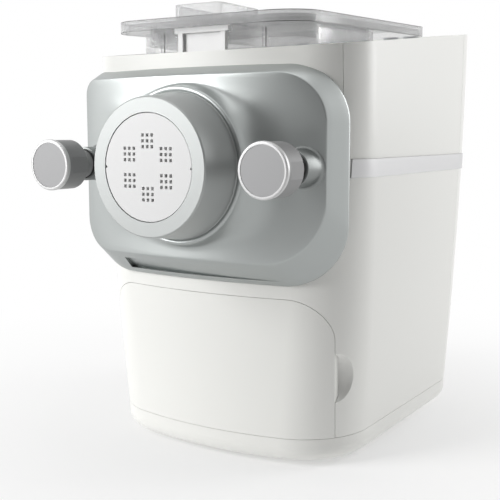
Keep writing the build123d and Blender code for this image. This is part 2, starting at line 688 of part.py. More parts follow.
# ---------------------------------------------------------------- knobs
def make_knob(sx):
    """Shell with two flats and a neck, a bright rim, a grey cap, a black washer and a steel insert."""
    x = sx * knob_x
    body = spin([(0, knob_rim_t), (knob_r - 0.4, knob_rim_t), (knob_r - 0.4, knob_body_d),
                 (knob_r - 3, knob_shoulder_d - 1.2), (knob_r - 6, knob_shoulder_d),
                 (knob_neck_r, knob_shoulder_d), (knob_neck_r, knob_neck_d), (0, knob_neck_d)], x)
    for side in (-1, 1):
        start = x + side * knob_flat_x
        low, high = sorted((start, start + side * knob_r))
        body -= block(low, high, knob_rim_t + 3, knob_neck_d, nozzle_z - knob_r, nozzle_z + knob_r)
    body -= rod(insert_r, knob_rim_t + 2, knob_neck_d + 1, x)
    rim = tube(knob_rim_r, knob_cap_r + 0.1, 0, knob_rim_t, x)
    rim = fillet(rim.faces().sort_by(Axis.Y)[0].edges().sort_by(SortBy.LENGTH)[-1], 1.2)
    cap = rod(knob_cap_r, 0.3, knob_rim_t, x)
    insert = tube(insert_r, rod_r + rod_clearance, knob_rim_t + 2, knob_neck_d, x)
    washer = tube(knob_washer_r, rod_r + rod_clearance, knob_neck_d, boss_front_d - seat_gap, x)
    return {"knob_body": body, "knob_rim": rim, "knob_cap": cap, "knob_insert": insert,
            "knob_washer": washer}


# ---------------------------------------------------------------- mixing chamber and lid
def trough(half_w, d0, d1, top):
    """Round-bottomed tub: a half cylinder about the shaft with upright sides."""
    upright = plan_box(half_w, d0, d1, nozzle_z, top, chamber_corner_r - (chamber_half_w - half_w))
    return rod(half_w, d0, d1) - above(nozzle_z) + upright


def make_mixing_chamber():
    outer = trough(chamber_half_w, chamber_front_d, chamber_back_d, far)
    inner = trough(chamber_half_w - chamber_wall, chamber_front_d + chamber_wall,
                   chamber_back_d - chamber_wall, far + 1)
    tub = (outer - inner) & under_slope(rim_front_z, lid_front_d, rim_rise, seat_gap)
    gate = rod(gate_r, 0, chamber_front_d + 15)
    gate += block(-gate_r, gate_r, 0, chamber_front_d + 15, nozzle_z, mouth_top_z - 6)
    tub -= gate
    tub -= rod(shaft_r + seal_wall, chamber_back_d - 10, chamber_back_d + 10)
    for sx in (-1, 1):
        rib_x = sx * chamber_rib_x
        tub += block(rib_x - 1.5, rib_x + 1.5, chamber_front_d - 0.7, chamber_front_d + 1,
                     mouth_top_z + 6, rim_front_z - 1)
    return tub


def make_shaft_seal():
    return tube(shaft_r + seal_wall, shaft_r + shaft_clearance, chamber_back_d - chamber_wall, bulkhead_d)


def make_chamber_clip():
    """White latch that stands on the deck before the tub, under the lid's front edge."""
    foot_z = top_z(clip_d + clip_t, deck_drop) + 0.3
    top = rim_z(clip_d) + 0.5
    clip = block(-clip_half_w, clip_half_w, clip_d, clip_d + clip_t, top - clip_h, top)
    for sx in (-1, 1):
        clip += block(sx * 19 - 2, sx * 19 + 2, clip_d + 0.5, clip_d + clip_t - 0.5, foot_z, top - 1)
    clip += block(-19, 19, clip_d + clip_t - 2, clip_d + clip_t, foot_z, top - 1)
    clip += block(-10, 10, clip_d + clip_t - 1, chamber_front_d - 0.1, foot_z + 4, foot_z + 8)
    return clip


def lid_lip(inset, z0):
    """Block that fits inside the tub with the given room all round."""
    room = chamber_wall + inset
    return plan_box(chamber_half_w - room, chamber_front_d + room, chamber_back_d - room, z0, far,
                    chamber_corner_r - room)


def lid_outline(inset, z0):
    """Block of the lid's outline: wide corners in front, tight ones at the back."""
    half, d0, d1 = lid_half_w - inset, lid_front_d + inset, lid_back_d - inset
    shape = plan_box(half, d0, d1, z0, far, lid_rear_r - inset)
    return shape & (plan_box(half, d0, far, z0, far, lid_corner_r - inset))


def make_lid():
    lift = under_slope(rim_front_z, lid_front_d, rim_rise, -lid_h)
    floor = under_slope(rim_front_z, lid_front_d, rim_rise)
    under_plate = under_slope(rim_front_z, lid_front_d, rim_rise, lid_plate_t - lid_h)
    lid = (lid_outline(0, nozzle_z) & lift) - floor - (lid_outline(lid_skirt_t, 0) & under_plate)
    lip_z = rim_front_z - lid_lip_h
    lid += (lid_lip(0.5, lip_z) - lid_lip(0.5 + lid_lip_t, nozzle_z)) & lift
    lid += spout(0) - spout(spout_wall)
    for i in range(slit_count):
        d = (spout_front_d + spout_back_d) / 2 + (i - (slit_count - 1) / 2) * slit_pitch
        x0, x1 = spout_x - slit_l / 2, spout_x + slit_l / 2
        lid -= block(x0, x1, d - slit_w / 2, d + slit_w / 2, nozzle_z, far)
    lid += pillar(lid_pin_r, top_z(lid_pin_d, deck_drop + 3), rim_z(lid_pin_d) + lid_h - 1, 0, lid_pin_d)
    return lid


def spout(inset):
    """Block of the raised pour-in mouth, which stands on the lid left of its middle."""
    z0 = rim_z(spout_front_d) + lid_h - lid_plate_t
    z1 = rim_front_z + lid_h + spout_h
    shape = plan_box(spout_half_w - inset, spout_front_d + inset, spout_back_d - inset, z0, z1,
                     spout_corner_r - inset)
    return Pos(spout_x, 0, 0) * shape


# ---------------------------------------------------------------- drive line
def gear(module, teeth, d0, d1, z, phase=0.0):
    """Spur gear with straight-flanked teeth; phase turns it, in tooth pitches."""
    pitch_r = module * teeth / 2
    tip_r, root_r = pitch_r + module * 0.9, pitch_r - module * 1.2
    step = 2 * pi / teeth
    half = step / 4 - backlash / 2 / pitch_r
    slope = module * tan(radians(20)) / pitch_r
    points = []
    for i in range(teeth):
        a = (i + phase) * step + pi / 2
        for r, w in ((root_r, half + 1.1 * slope), (tip_r, half - 0.9 * slope)):
            points.append((r, a - w))
        for r, w in ((tip_r, half - 0.9 * slope), (root_r, half + 1.1 * slope)):
            points.append((r, a + w))
    outline = [(r * cos(a), 0, z + r * sin(a)) for r, a in points]
    return prism(make_face(Polyline(outline, close=True)), d0, d1)


def make_output_gear():
    # a tooth gap faces straight down, where the idler's pinion has a tooth
    phase = 0.5 if final_teeth % 2 == 0 else 0.0
    wheel = gear(final_module, final_teeth, final_gear_d, final_gear_d + final_gear_t, nozzle_z, phase)
    return wheel - rod(shaft_r, 0, far)


def make_idler_gear():
    pinion = gear(final_module, final_pinion_teeth, final_gear_d, first_gear_d, idler_z)
    phase = 0.5 if first_teeth % 2 == 0 else 0.0
    wheel = gear(first_module, first_teeth, first_gear_d, first_gear_d + first_gear_t, idler_z, phase)
    return (pinion + wheel) - rod(idler_axle_r + idler_clearance, 0, far, 0, idler_z)


def make_motor_pinion():
    back = first_gear_d + first_gear_t
    pinion = gear(first_module, first_pinion_teeth, first_gear_d - 1, back, motor_z)
    return pinion - rod(motor_shaft_r, 0, far, 0, motor_z)


def gearbox_outline(inset=0.0):
    z0 = motor_z - first_module * first_pinion_teeth / 2 - gearbox_margin - 4 + inset
    z1 = nozzle_z + final_module * final_teeth / 2 + gearbox_margin - inset
    corner = gearbox_corner_r - inset
    return rounded_outline(gearbox_half_w - inset, z0, z1, corner, corner)


def make_gearbox_housing():
    start = bulkhead_d + bulkhead_t
    outer = prism(gearbox_outline(), start, gearbox_back_d)
    inner = prism(gearbox_outline(gearbox_wall), start + gearbox_wall, gearbox_back_d + 5)
    box = outer - inner
    box += rod(bearing_r() + 3, start, start + bearing_t)
    box -= rod(bearing_r(), start - 1, start + 10)
    box -= rod(idler_axle_r, start - 1, start + 10, 0, idler_z)
    return box


def bearing_r():
    return shaft_r + bearing_wall


def make_gearbox_cover():
    plate = prism(gearbox_outline(), gearbox_back_d, gearbox_back_d + gearbox_cover_t)
    plate -= rod(bearing_r(), 0, far)
    plate -= rod(idler_axle_r, 0, far, 0, idler_z)
    plate -= rod(motor_shaft_r + motor_bush_t, 0, far, 0, motor_z)
    return plate


def make_shaft_bearings():
    start, bore = bulkhead_d + bulkhead_t, shaft_r + shaft_clearance
    front_one = tube(bearing_r(), bore, start, start + bearing_t)
    rear_one = tube(bearing_r(), bore, gearbox_back_d, gearbox_back_d + gearbox_cover_t)
    return group(front_one, rear_one)


def make_idler_axle():
    return rod(idler_axle_r, bulkhead_d + bulkhead_t, gearbox_back_d + gearbox_cover_t, 0, idler_z)


def make_drive_shaft():
    square = Pos(0, at((shaft_front_d + paddle_back_d) / 2), nozzle_z)
    square = square * Box(shaft_square, paddle_back_d - shaft_front_d, shaft_square)
    return square + rod(shaft_r, paddle_back_d, gearbox_back_d + gearbox_cover_t - 0.5)


def square_bore(d0, d1):
    side = shaft_square + 0.2
    return Pos(0, at((d0 + d1) / 2), nozzle_z) * Box(side, d1 - d0, side)


def make_extruding_screw():
    """Core with a helical flight built from short ruled spans."""
    spans = int(screw_turns * 12)
    length = screw_back_d - screw_front_d - flight_t
    def blade(i):
        a = 2 * pi * screw_turns * i / spans
        d = screw_front_d + length * i / spans
        radial = (cos(a), sin(a))
        root = screw_core_r - 1.5
        corners = [(root, 0), (screw_r, 0), (screw_r, flight_t), (root, flight_t)]
        points = [(r * radial[0], at(d + t), nozzle_z + r * radial[1]) for r, t in corners]
        return Wire(Polyline(points, close=True).edges())
    flight = Solid.make_loft([blade(i) for i in range(spans + 1)], True)
    core = rod(screw_core_r, screw_front_d, screw_back_d)
    return (core + flight) - square_bore(shaft_front_d - 0.5, screw_back_d + 5)


def make_mixing_paddle():
    paddle = rod(paddle_hub_r, paddle_front_d, paddle_back_d)
    half, tip = paddle_bar / 2, nozzle_z + paddle_reach
    first = paddle_front_d + paddle_end
    pitch = (paddle_back_d - paddle_end - paddle_bar - first) / (paddle_arms - 1)
    for k in range(paddle_arms):
        d = first + k * pitch
        arm = block(-half, half, d, d + paddle_bar, nozzle_z + paddle_hub_r - 2, tip)
        if k < paddle_arms - 1:
            arm += block(-half, half, d, d + pitch, tip - paddle_bar, tip)
        paddle += arm.rotate(Axis((0, 0, nozzle_z), (0, 1, 0)), 90 * k)
    return paddle - square_bore(paddle_front_d - 1, paddle_back_d + 1)


def motor_front_d():
    return gearbox_back_d + gearbox_cover_t


def make_motor_housing():
    d0, d1 = motor_front_d(), motor_front_d() + motor_len
    can = rod(motor_r, d0, d1, 0, motor_z)
    can -= rod(motor_r - motor_wall, d0 + motor_wall, d1 - motor_wall, 0, motor_z)
    return can - rod(motor_shaft_r + motor_bush_t, 0, far, 0, motor_z)


def make_motor_bearings():
    d0, d1 = motor_front_d(), motor_front_d() + motor_len
    outer, bore = motor_shaft_r + motor_bush_t, motor_shaft_r + shaft_clearance
    return group(tube(outer, bore, d0, d0 + motor_wall, 0, motor_z),
                 tube(outer, bore, d1 - motor_wall, d1, 0, motor_z))


def make_motor_rotor():
    middle = motor_front_d() + motor_len / 2
    rotor = rod(armature_r, middle - armature_len / 2, middle + armature_len / 2, 0, motor_z)
    return rotor + rod(motor_shaft_r, first_gear_d - 1, motor_front_d() + motor_len + fan_t + 2, 0, motor_z)


def make_motor_magnets():
    """Two field magnets on the can's inner wall."""
    d0 = motor_front_d() + (motor_len - armature_len) / 2
    ring = tube(motor_r - motor_wall, armature_r + 1, d0, d0 + armature_len, 0, motor_z)
    return ring - block(-magnet_gap / 2, magnet_gap / 2, 0, far, 0, far)


def make_cooling_fan():
    d0 = motor_front_d() + motor_len + 1
    fan = rod(fan_hub_r, d0, d0 + fan_t, 0, motor_z)
    for i in range(fan_blades):
        blade = Pos(fan_r / 2 + 2, 0, 0) * Rot(35, 0, 0) * Box(fan_r - 4, fan_t * 0.9, 1.6)
        fan += Pos(0, at(d0 + fan_t / 2), motor_z) * Rot(0, 360 / fan_blades * i, 0) * blade
    return fan - rod(motor_shaft_r, 0, far, 0, motor_z)


# ---------------------------------------------------------------- electrics and controls
def make_power_board():
    """Board with four tall components, each placed by its share of the board's length and height."""
    start, height = bulkhead_d + bulkhead_t, power_top_z - power_bottom_z
    parts = [block(power_x, power_x + board_t, start, start + power_len, power_bottom_z, power_top_z)]
    transformer, choke, capacitor, heat_sink = ((0.12, 0.10, 0.35, 0.22), (0.59, 0.13, 0.29, 0.15),
                                                (0.15, 0.48, 0.26, 0.18), (0.53, 0.46, 0.38, 0.27))
    for d, z, depth, tall in (transformer, choke, capacitor, heat_sink):
        d0, z0 = start + d * power_len, power_bottom_z + z * height
        parts.append(block(power_x - tall * power_len, power_x, d0, d0 + depth * power_len,
                           z0, z0 + tall * height))
    return group(*parts)


controls_at = Pos(0, at(fascia_d), top_z(fascia_d, deck_drop)) * Rot(top_slope, 0, 0)


def button_places():
    return [(-58.0, 0.0), (-38.0, 0.0), (38.0, 0.0), (58.0, 0.0)]


def make_control_fascia():
    plate = Pos(0, 0, fascia_t / 2 + 0.05) * Box(2 * fascia_half_w, fascia_len, fascia_t)
    plate = fillet(plate.edges().filter_by(Axis.Z), fascia_corner_r)
    plate -= Box(window_w + 0.2, window_l + 0.2, 10 * fascia_t)
    for x, y in button_places():
        plate -= Pos(x, y, 0) * Cylinder(button_r + button_gap, 10 * fascia_t)
    return controls_at * plate


def make_display_window():
    lip = Pos(0, 0, 0.05 + window_t / 2) * Box(window_w, window_l, window_t)
    return controls_at * lip


def make_control_board():
    low = -deck_t - board_drop
    board = Pos(0, 0, low) * Box(2 * fascia_half_w - 6, fascia_len - 8, board_t)
    parts = [board]
    top = low + board_t / 2
    parts.append(Pos(0, 0, (top - deck_t - 0.2) / 2) * Box(window_w - 8, window_l - 8, -deck_t - 0.2 - top))
    for x, y in button_places():
        parts.append(Pos(x, y, top + 2) * Cylinder(3, 4))
    for sx in (-1, 1):
        parts.append(Pos(sx * 26, 0, (top - deck_t) / 2) * Cylinder(2.5, -deck_t - top))
    return group(*[controls_at * p for p in parts])


def make_button(x, y):
    cap_top = fascia_t + button_h
    stem_low = -deck_t - board_drop + board_t / 2 + 4 + button_travel + 0.3
    cap = Pos(0, 0, (cap_top + fascia_t - 2.4) / 2) * Cylinder(button_r, cap_top - fascia_t + 2.4)
    cap = fillet(cap.faces().sort_by(Axis.Z)[-1].edges(), 0.8)
    cap += Pos(0, 0, (stem_low + 0.5) / 2) * Cylinder(2.5, 0.5 - stem_low)
    return controls_at * Pos(x, y, 0) * cap


def make_lid_switch():
    top = top_z(lid_pin_d, deck_drop + deck_t) - 1.2
    body = block(-10, 10, lid_pin_d - 5, lid_pin_d + 5, top - 9, top - 1.5)
    for sx in (-1, 1):
        body += block(sx * 8 - 2, sx * 8 + 2, lid_pin_d - 3, lid_pin_d + 3, top - 2, top + 1.6)
    return body & under_top(deck_drop + deck_t)


# ---------------------------------------------------------------- write
def all_parts():
    parts = {
        "base_tray": make_base_tray(), "rubber_feet": make_feet(), "base_screws": make_base_screws(),
        "side_housing": make_side_housing(), "front_frame": make_front_frame(),
        "rear_cover": make_rear_cover(), "rear_cover_screws": make_rear_screws(),
        "cord_bush": make_cord_bush(), "top_deck": make_top_deck(), "trim_band": make_trim_band(),
        "inner_frame": make_inner_frame(), "mounting_rods": make_rods(), "rod_nuts": make_rod_nuts(),
        "drawer_runners": make_runners(), "drawer_front": make_drawer_front(),
        "drawer_tray": make_drawer_tray(), "spare_discs": make_spare_discs(),
        "front_panel": make_front_panel(), "extrusion_tube": make_extrusion_tube(),
        "shaping_disc": make_shaping_disc(), "nozzle_ring": make_nozzle_ring(),
        "mixing_chamber": make_mixing_chamber(), "shaft_seal": make_shaft_seal(),
        "chamber_clip": make_chamber_clip(), "lid": make_lid(),
        "drive_shaft": make_drive_shaft(), "extruding_screw": make_extruding_screw(),
        "mixing_paddle": make_mixing_paddle(), "output_gear": make_output_gear(),
        "idler_gear": make_idler_gear(), "idler_axle": make_idler_axle(),
        "motor_pinion": make_motor_pinion(), "gearbox_housing": make_gearbox_housing(),
        "gearbox_cover": make_gearbox_cover(), "shaft_bearings": make_shaft_bearings(),
        "motor_housing": make_motor_housing(), "motor_bearings": make_motor_bearings(),
        "motor_magnets": make_motor_magnets(), "motor_rotor": make_motor_rotor(),
        "cooling_fan": make_cooling_fan(), "power_board": make_power_board(),
        "control_fascia": make_control_fascia(), "display_window": make_display_window(),
        "control_board": make_control_board(), "lid_switch": make_lid_switch(),
    }
    for side, sx in (("left", -1), ("right", 1)):
        for name, shape in make_knob(sx).items():
            parts[f"{name}_{side}"] = shape
    button_names = ("power_button", "start_button", "menu_down_button", "menu_up_button")
    for name, place in zip(button_names, button_places()):
        parts[name] = make_button(*place)
    return parts


def main():
    os.makedirs("parts", exist_ok=True)
    for name, shape in all_parts().items():
        export_step(shape, f"parts/{name}.step")


main()
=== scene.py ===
"""Looks of the electric pasta maker: materials, fine meshes, light and camera."""
import bpy
from math import cos, hypot, pi, radians, sin, sqrt, tan
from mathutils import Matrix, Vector


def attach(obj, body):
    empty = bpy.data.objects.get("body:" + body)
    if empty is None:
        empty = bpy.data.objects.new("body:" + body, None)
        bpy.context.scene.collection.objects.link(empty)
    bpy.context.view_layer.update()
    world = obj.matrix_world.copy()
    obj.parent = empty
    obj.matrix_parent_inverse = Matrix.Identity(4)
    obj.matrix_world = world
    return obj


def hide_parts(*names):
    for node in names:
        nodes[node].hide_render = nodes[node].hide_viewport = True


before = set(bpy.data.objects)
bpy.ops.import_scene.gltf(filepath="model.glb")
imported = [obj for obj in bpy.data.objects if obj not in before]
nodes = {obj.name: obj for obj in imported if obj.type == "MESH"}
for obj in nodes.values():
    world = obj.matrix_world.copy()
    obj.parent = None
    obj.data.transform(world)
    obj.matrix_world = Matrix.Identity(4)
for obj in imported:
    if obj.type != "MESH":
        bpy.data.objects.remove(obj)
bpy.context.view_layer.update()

# Sizes are in mm, in the part's own terms: x to the right, d behind the nozzle's face, z up.
NOZZLE_Z = 225.0
NOZZLE_FACE_Y = -0.175      # metres
ROUND_STEPS = 128


# ---------------------------------------------------------------- places and meshes
def place(x, d, z):
    """Metres from millimetres: d is the distance behind the nozzle's face."""
    return (x / 1000, NOZZLE_FACE_Y + d / 1000, z / 1000)


def add_mesh(name, points, faces, material, smooth=True):
    """A mesh object from millimetre points (x, d, z)."""
    data = bpy.data.meshes.new(name)
    data.from_pydata([place(*p) for p in points], [], faces)
    data.materials.append(material)
    data.validate()
    for poly in data.polygons:
        poly.use_smooth = smooth
    piece = bpy.data.objects.new(name, data)
    bpy.context.scene.collection.objects.link(piece)
    return piece


def band_faces(rings, count, loop=False):
    """Quads between successive rings of count points, and from the last to the first of a loop."""
    faces = []
    for i in range(rings if loop else rings - 1):
        start, end = i * count, (i + 1) % rings * count
        for j in range(count):
            k = (j + 1) % count
            faces.append((start + j, start + k, end + k, end + j))
    return faces


def sharpen(piece, angle):
    """Shade smooth except over edges that turn by more than the angle."""
    piece.data.set_sharp_from_angle(angle=radians(angle))


# ---------------------------------------------------------------- materials
def paint(name, color, roughness, metallic=0.0, **extra):
    """A plain material; extra names other sockets of the shader, with _ for each space."""
    material = bpy.data.materials.new(name)
    material.use_nodes = True
    shader = material.node_tree.nodes["Principled BSDF"]
    shader.inputs["Base Color"].default_value = (*color, 1.0)
    shader.inputs["Roughness"].default_value = roughness
    shader.inputs["Metallic"].default_value = metallic
    for socket, value in extra.items():
        shader.inputs[socket.replace("_", " ")].default_value = value
    return material


def add_grain(material, scale, strength):
    """Fine noise in the surface, as in metallic paint."""
    tree = material.node_tree
    noise = tree.nodes.new("ShaderNodeTexNoise")
    noise.inputs["Scale"].default_value = scale
    noise.inputs["Detail"].default_value = 4.0
    coords = tree.nodes.new("ShaderNodeTexCoord")
    bump = tree.nodes.new("ShaderNodeBump")
    bump.inputs["Strength"].default_value = strength
    bump.inputs["Distance"].default_value = 0.0001
    tree.links.new(coords.outputs["Object"], noise.inputs["Vector"])
    tree.links.new(noise.outputs["Fac"], bump.inputs["Height"])
    tree.links.new(bump.outputs["Normal"], tree.nodes["Principled BSDF"].inputs["Normal"])
    return material


def see_through(material, facing, grazing):
    """Clear plastic, which hides more of what is behind it where it is seen edge-on."""
    tree = material.node_tree
    weight = tree.nodes.new("ShaderNodeLayerWeight")
    spread = tree.nodes.new("ShaderNodeMapRange")
    spread.inputs["To Min"].default_value = facing
    spread.inputs["To Max"].default_value = grazing
    tree.links.new(weight.outputs["Facing"], spread.inputs["Value"])
    tree.links.new(spread.outputs["Result"], tree.nodes["Principled BSDF"].inputs["Alpha"])
    return material


white = paint("body white", (0.83, 0.83, 0.80), 0.32)
silver = add_grain(paint("panel silver", (0.40, 0.42, 0.415), 0.38, 0.85), 2200, 0.25)
# Painted shade: a darker copy of the panel's silver, so the knob bosses look shaded.
boss_shaded_silver = paint("boss shaded silver", (0.235, 0.246, 0.243), 0.42, 0.85)
ring_paint = add_grain(paint("ring silver", (0.42, 0.435, 0.43), 0.45, 0.5), 2200, 0.15)
disc_white = paint("disc white", (0.80, 0.80, 0.80), 0.35)
knob_grey = paint("knob grey", (0.34, 0.34, 0.345), 0.5, 0.25)
knob_side = paint("knob side", (0.27, 0.27, 0.272), 0.5, 0.1)
knob_bright = paint("knob rim", (0.62, 0.62, 0.62), 0.38, 0.35)
black = paint("black", (0.02, 0.02, 0.02), 0.5)
band_satin = paint("band satin", (0.60, 0.60, 0.605), 0.35, 0.45)
inner = paint("inner plastic", (0.75, 0.75, 0.73), 0.5)
steel = paint("steel", (0.60, 0.61, 0.62), 0.3, 1.0)
dark_steel = paint("dark steel", (0.25, 0.25, 0.26), 0.45, 0.9)
nylon = paint("nylon", (0.80, 0.77, 0.68), 0.45)
bronze = paint("bronze", (0.65, 0.45, 0.22), 0.35, 1.0)
board = paint("board green", (0.04, 0.20, 0.09), 0.4)
window = paint("window", (0.01, 0.01, 0.012), 0.08)
key_grey = paint("key grey", (0.45, 0.46, 0.47), 0.4)
lid_clear = see_through(
    paint("lid clear", (0.62, 0.625, 0.63), 0.06, Transmission_Weight=0.3, IOR=1.2), 0.22, 0.70)
tub_clear = see_through(
    paint("tub clear", (0.97, 0.975, 0.98), 0.06, Transmission_Weight=0.7, IOR=1.2), 0.15, 0.60)
# Painted shade: near-black, half see-through strips for the dark lines where the clear tub's ribs bend
# the light away.
rib_painted_shade = paint("rib painted shade", (0.05, 0.05, 0.05), 0.2, Alpha=0.75)
# Painted shade: near-black, half see-through lines for the dark bands where the lid's clear rim bends
# the light away.
lid_painted_shade = paint("lid painted shade", (0.06, 0.06, 0.06), 0.3, Alpha=0.8)

LOOKS = {
    "base_tray": white, "side_housing": white, "front_frame": white, "rear_cover": white,
    "top_deck": white, "drawer_front": white, "drawer_tray": white, "trim_band": band_satin,
    "rubber_feet": black, "cord_bush": black, "shaft_seal": black,
    "base_screws": steel, "rear_cover_screws": steel, "mounting_rods": steel, "rod_nuts": steel,
    "drive_shaft": steel, "idler_axle": steel, "motor_pinion": steel, "motor_rotor": dark_steel,
    "motor_housing": dark_steel, "motor_magnets": dark_steel,
    "shaft_bearings": bronze, "motor_bearings": bronze,
    "inner_frame": inner, "drawer_runners": inner, "gearbox_housing": inner, "gearbox_cover": inner,
    "cooling_fan": inner, "lid_switch": inner,
    "output_gear": nylon, "idler_gear": nylon,
    "extrusion_tube": disc_white, "spare_discs": disc_white, "shaping_disc": disc_white,
    "extruding_screw": disc_white, "mixing_paddle": disc_white, "chamber_clip": disc_white,
    "front_panel": silver, "nozzle_ring": ring_paint, "mixing_chamber": tub_clear, "lid": lid_clear,
    "power_board": board, "control_board": board, "control_fascia": silver, "display_window": window,
    "power_button": key_grey, "start_button": key_grey, "menu_down_button": key_grey,
    "menu_up_button": key_grey,
}
for side in ("left", "right"):
    LOOKS.update({f"knob_body_{side}": knob_side, f"knob_rim_{side}": knob_bright,
                  f"knob_cap_{side}": knob_grey, f"knob_insert_{side}": steel,
                  f"knob_washer_{side}": black})
for name, piece in nodes.items():
    for slot in piece.material_slots:
        slot.material = LOOKS[name]


# ---------------------------------------------------------------- front panel
# half width, bottom, top, and the corner radii: bottom right, top right, top left, bottom left
RIM = (116.6, 138.3, 297.5, (46.0, 42.0, 17.0, 46.0))
RIM_D, RIM_BULGE, RIM_ROUND = 61.4, 414.0, 1.6
RIM_T, BACK_SHARE = 3.0, 0.985              # plate's thickness at its rim, and its back's size
FACE = (108.0, 156.0, 290.4, (46.0, 35.0, 12.0, 26.0))
FACE_D, FACE_BULGE, FACE_ROUND = 44.0, 396.0, 1.3
BEVEL_ROWS = (0.3, 0.5, 0.7)                # shares of the way from the rim to the face's edge
SWELL_AIM, SWELL_START, SWELL_ROWS = 0.15, 0.18, 20
SWELL_POWER, SWELL_POWER_UP = 6, 4          # beside the nozzle, and what is added over and under it
LIP_R, BEAD_INNER_R, BORE_R, LIP_D, LIP_H = 57.3, 53.0, 54.4, 32.0, 2.0
BEAD_ROWS, BEAD_STEP = 10, 15               # the bead's round, row by row, in degrees
BORE_ROWS_D = (33.1, 55.0, 57.5)
BOSS_R, BOSS_FRONT_D, BOSS_BACK_D, BOSS_BORE_R, KNOB_X = 13.0, 38.0, 60.0, 5.4, 92.8
# places past the boss's radius, with their depth behind its front, and then their height over the swell
BOSS_EDGE = ((-1.0, 0.0), (-0.3, 0.2), (0.0, 0.8))
BOSS_FILLET = ((0.0, 3.0), (0.15, 1.9), (0.6, 0.9), (1.1, 0.4), (2.0, -0.1))
SLOT_LEFT, SLOT_FADE_X, SLOT_RIGHT = -67.0, 55.0, 75.0
SLOT_H, SLOT_DEPTH, SLOT_LEAN, SLOT_ROWS = 9.0, 3.7, 1.07, 40
SLOT_CUT_D = 30.0                           # where the slot's cutter begins, before the panel


def outline(half_w, z0, z1, radii, straight=40, bend=24):
    """Points round a rounded rectangle, the same number for every size."""
    arcs = []
    for i, (r, sx, sz) in enumerate(zip(radii, (1, 1, -1, -1), (-1, 1, 1, -1))):
        cx, cz = sx * (half_w - r), (z0 + r if sz < 0 else z1 - r)
        turns = [radians(90 * (i - 1 + k / bend)) for k in range(bend + 1)]
        arcs.append([(cx + r * cos(a), cz + r * sin(a)) for a in turns])
    points = []
    for arc, following in zip(arcs, arcs[1:] + arcs[:1]):
        points += arc + [between(arc[-1], following[0], k / straight) for k in range(1, straight)]
    return points


def rim_depth(x):
    """Depth of the bulged rim at a place across the panel; face_depth is the same for its face."""
    return RIM_D + RIM_BULGE - sqrt(RIM_BULGE ** 2 - x ** 2)


def face_depth(x):
    return FACE_D + FACE_BULGE - sqrt(FACE_BULGE ** 2 - x ** 2)


def between(a, b, t):
    """The point a share t of the way from a to b."""
    return tuple(p + (q - p) * t for p, q in zip(a, b))


def rounded_edge(before, corner, after, reach, count=4):
    """Points that round a corner, starting and ending a given reach from it."""
    def toward(end):
        return between(corner, end, reach / max(hypot(*(q - p for p, q in zip(corner, end))), reach))
    start, end = toward(before), toward(after)
    points = []
    for k in range(count + 1):
        t = k / count
        points.append(between(between(start, corner, t), between(corner, end, t), t))
    return points


def swell_point(edge_r, ux, uz, t):
    """Place on the panel's swell, from its face's edge at t = 0 to the foot of the lip at t = 1."""
    r = edge_r + (LIP_R - edge_r) * t
    flat = face_depth(r * ux)
    return (r * ux, flat + (LIP_D + LIP_H - flat) * t ** (SWELL_POWER + SWELL_POWER_UP * uz * uz),
            NOZZLE_Z + r * uz)


def panel_profile(rim_point, face_point):
    """Section of the panel from its rim to the bore, for one place round the outline."""
    rim = (rim_point[0], rim_depth(rim_point[0]), rim_point[1])
    edge = (face_point[0], face_depth(face_point[0]), face_point[1])
    edge_r = hypot(edge[0], edge[2] - NOZZLE_Z)
    ux, uz = edge[0] / edge_r, (edge[2] - NOZZLE_Z) / edge_r
    back = (rim[0] * BACK_SHARE, rim[1] + RIM_T, NOZZLE_Z + (rim[2] - NOZZLE_Z) * BACK_SHARE)
    points = rounded_edge(back, rim, edge, RIM_ROUND)
    points += [between(rim, edge, t) for t in BEVEL_ROWS]
    points += rounded_edge(rim, edge, swell_point(edge_r, ux, uz, SWELL_AIM), FACE_ROUND)
    points += [swell_point(edge_r, ux, uz, SWELL_START + (1 - SWELL_START) * k / SWELL_ROWS)
               for k in range(SWELL_ROWS + 1)]
    bead, middle_r = (LIP_R - BEAD_INNER_R) / 2, (LIP_R + BEAD_INNER_R) / 2
    for k in range(1, BEAD_ROWS + 1):
        turn = radians(BEAD_STEP * k)
        r, d = middle_r + bead * cos(turn), LIP_D + LIP_H * (1 - sin(turn))
        points.append((r * ux, d, NOZZLE_Z + r * uz))
    points += [(BORE_R * ux, d, NOZZLE_Z + BORE_R * uz) for d in BORE_ROWS_D]
    points.append(back)
    return points


def add_panel():
    sections = [panel_profile(a, b) for a, b in zip(outline(*RIM), outline(*FACE))]
    count, length = len(sections), len(sections[0])
    points = [section[i] for i in range(length) for section in sections]
    panel = add_mesh("panel_face", points, band_faces(length, count, loop=True), silver)
    cut_slot(panel)
    sharpen(panel, 35)
    return panel


